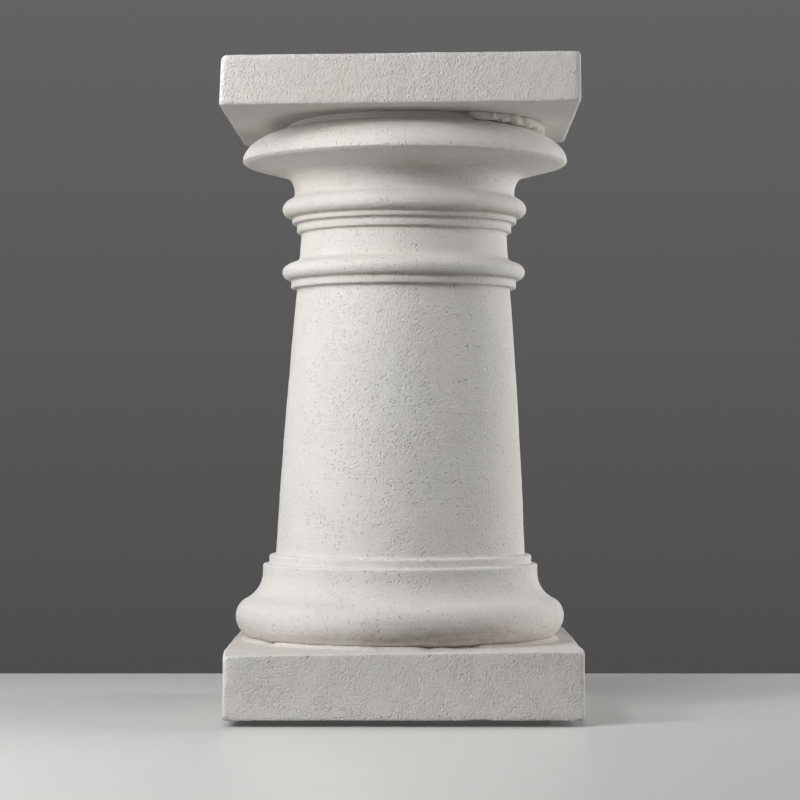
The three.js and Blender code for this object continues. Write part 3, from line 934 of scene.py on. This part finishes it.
ring, foot = plasterRing(lappedRing), footBlock()
addModifier(plinthPiece, merging, plinthPlaster, {"Other": ring})
addModifier(plinthPiece, merging, plinthPlaster, {"Other": foot})
slabBubbles = {
    "Per square metre": 9000.0, "Apart": 2.2 * mm, "Radius": 0.7 * mm, "Least": 0.4, "Roundness": 1, "Sunk": 0.25,
    "Patches per metre": 30.0, "Bare share": 0.4, "Low": -1.0, "High": 1.0, "Fade": 0.01, "Seed": 41}
chipped = slabChips(plinthChips, plinthSide, plinth["chipSeed"])
addModifier(plinthPiece, cutting, plinthPlaster, {"Other": chipped})
addModifier(plinthPiece, bubbling, plinthPlaster, slabBubbles)
settle(plinthPiece, plinthPlaster, Matrix.Translation((0, 0, (plinth["footHeight"] + plinth["height"] / 2) * mm)))
drop(ring, foot, chipped)
report(plinthPiece)

abacusSide = 2 * (noseR + abacus["overhang"])
abacusPiece = slabPiece("abacusSlab", abacus, abacusSide, abacusPlaster)
chipped = slabChips(abacusChips, abacusSide, abacus["chipSeed"])
addModifier(abacusPiece, cutting, abacusPlaster, {"Other": chipped})
addModifier(abacusPiece, bubbling, abacusPlaster, dict(slabBubbles, **{"Per square metre": 14000.0, "Seed": 53}))
headX = column["offset"] + bedTop * leanSlope
headZ = column["foot"] + bedTop + column["joint"]
abacusPlace = (Matrix.Translation((headX * mm, 0, headZ * mm))
               @ Matrix.Rotation(-math.radians(column["abacusTilt"]), 4, "Y")
               @ Matrix.Translation((abacus["offset"] * mm, 0, abacus["height"] / 2 * mm))
               @ Matrix.Rotation(math.radians(abacus["turn"]), 4, "Z"))
settle(abacusPiece, abacusPlaster, abacusPlace)
drop(chipped)
report(abacusPiece)

for piece, node in ((plinthPiece, "plinth"), (columnPiece, "column"), (abacusPiece, "abacus")):
    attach(piece, "root")
    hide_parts(node)


# ---------- floor, backdrop and lights

floor = {"back": 293, "front": -1500, "sides": 1500, "colour": (0.86, 0.85, 0.83, 1), "roughness": 0.4}
side, back, front = floor["sides"] * mm, floor["back"] * mm, floor["front"] * mm
corners = [(-side, front, 0), (side, front, 0), (side, back, 0), (-side, back, 0)]
floorPlane = newObject("floor", corners, [(0, 1, 2, 3)])
floorPaint = bpy.data.materials.new("floor paint")
floorPaint.use_nodes = True
paint = floorPaint.node_tree.nodes["Principled BSDF"]
paint.inputs["Base Color"].default_value = floor["colour"]
paint.inputs["Roughness"].default_value = floor["roughness"]
floorPlane.data.materials.append(floorPaint)
floorPlane.visible_diffuse = False  # the three bounce lights stand for the light that it throws up

aimHeight = 240
lights = {  # place, width and height in millimetres, power in watts
    "key": ((-1136, -954, 859), (260, 300), 4.37),
    "keyNear": ((-637, -534, 437), (300, 400), 2.02),
    "keySide": ((-784, -255, 466), (300, 400), 0.62),
    "keyBack": ((-1083, -38, 451), (300, 700), 0.62),
    "keyHigh": ((-450, -450, 896), (250, 300), 1.40),
    "front": ((-529, -994, 910), (300, 350), 3.06),
    "rim": ((1189, 104, 385), (350, 800), 7.10),
    "rimBack": ((1034, 597, 385), (350, 800), 2.43),
    "bounceLeft": ((-520, 0, 6), (500, 500), 0.63),
    "bounceRight": ((520, 0, 6), (500, 500), 0.48),
    "bounceFront": ((0, -150, 4), (440, 50), 0.02),
}
for name, (place, size, power) in lights.items():
    lamp = bpy.data.lights.new(name, "AREA")
    lamp.shape = "RECTANGLE"
    lamp.size, lamp.size_y = (value * mm for value in size)
    lamp.energy = power
    lampObject = linked(name, lamp)
    lampObject.location = [value * mm for value in place]
    lampObject.visible_camera = False
    upwards = name.startswith("bounce")
    aim = Vector((0, 0, 1)) if upwards else Vector((0, 0, aimHeight * mm)) - lampObject.location
    lampObject.rotation_euler = aim.to_track_quat("-Z", "Y").to_euler()

room = {"wallLow": 0.072, "wallHigh": 0.128, "from": -0.1, "to": 0.19, "fill": 0.1}  # from and to: slope of sight
world = bpy.data.worlds.new("room")
world.use_nodes = True
world.node_tree.nodes.clear()
bpy.context.scene.world = world
n = Nodes(world.node_tree)
height = n.split(n.add("ShaderNodeTexCoord").outputs["Generated"])["Z"]
wall = n.ramp(height, room["from"], room["to"], room["wallLow"], room["wallHigh"], smooth=False)
seen = n.add("ShaderNodeLightPath").outputs["Is Camera Ray"]
shade = n.math("MULTIPLY_ADD", seen, n.minus(wall, room["fill"]), room["fill"])
background = n.add("ShaderNodeBackground", {"Color": n.combine(shade, shade, shade), "Strength": 1.0})
n.plug(n.add("ShaderNodeOutputWorld").inputs[0], background.outputs[0])
bpy.context.scene.view_settings.view_transform = "Standard"
print("floor, lights and room ready")
